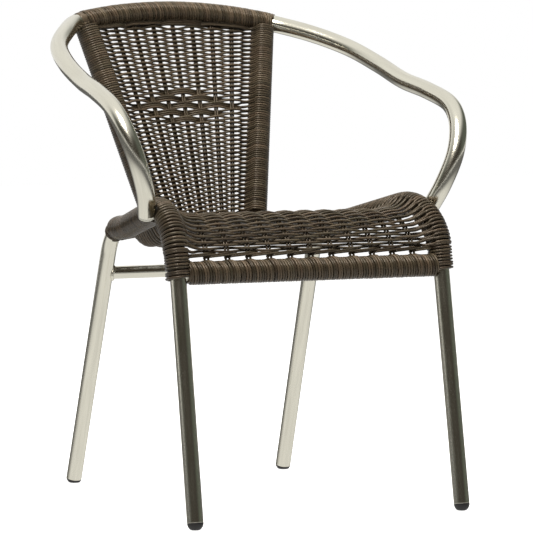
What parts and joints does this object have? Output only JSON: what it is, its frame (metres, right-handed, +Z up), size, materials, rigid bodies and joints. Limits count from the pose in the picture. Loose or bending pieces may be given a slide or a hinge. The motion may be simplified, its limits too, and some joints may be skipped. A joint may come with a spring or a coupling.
{
  "type": "bistro armchair",
  "caption": "Stacking bistro armchair: bent aluminium tube frame with swept open arms, woven synthetic rattan seat and back, strand-wrapped rails and black rubber foot caps.",
  "frame": {"origin": "on the floor, under the middle of the bounding box of the chair", "axes": "+Z up, the chair faces -Y, and +X is on the right when the chair is seen from its front. Left and right in the node names are meant the same way."},
  "size_m": [0.6046, 0.5678, 0.7557],
  "materials": {
    "aluminium": "satin to polished bare tube",
    "weld": "dull weld bead",
    "strand": "dark brown round polyethylene strand, low sheen",
    "rubber": "matt black"
  },
  "bodies": {
    "root": {"leg_frame_left": "aluminium", "leg_frame_right": "aluminium", "arm_and_top_rail_tube": "aluminium", "front_seat_rail_tube": "aluminium", "rear_seat_rail_tube": "aluminium", "rear_stretcher_tube": "aluminium", "back_upright_left": "aluminium", "back_upright_right": "aluminium", "stretcher_weld_left": "weld", "arm_weld_left": "weld", "stretcher_weld_right": "weld", "arm_weld_right": "weld", "foot_cap_front_left": "rubber", "foot_cap_rear_left": "rubber", "foot_cap_front_right": "rubber", "foot_cap_rear_right": "rubber", "arm_end_plug_left": "aluminium", "arm_end_plug_right": "aluminium", "top_rail_wrap": "strand", "front_rail_wrap": "strand", "rear_rail_wrap": "strand", "side_wrap_front_left": "strand", "side_wrap_rear_left": "strand", "upright_wrap_left": "strand", "side_wrap_front_right": "strand", "side_wrap_rear_right": "strand", "upright_wrap_right": "strand", "back_weave": "strand", "seat_weave": "strand"}
  },
  "joints": []
}
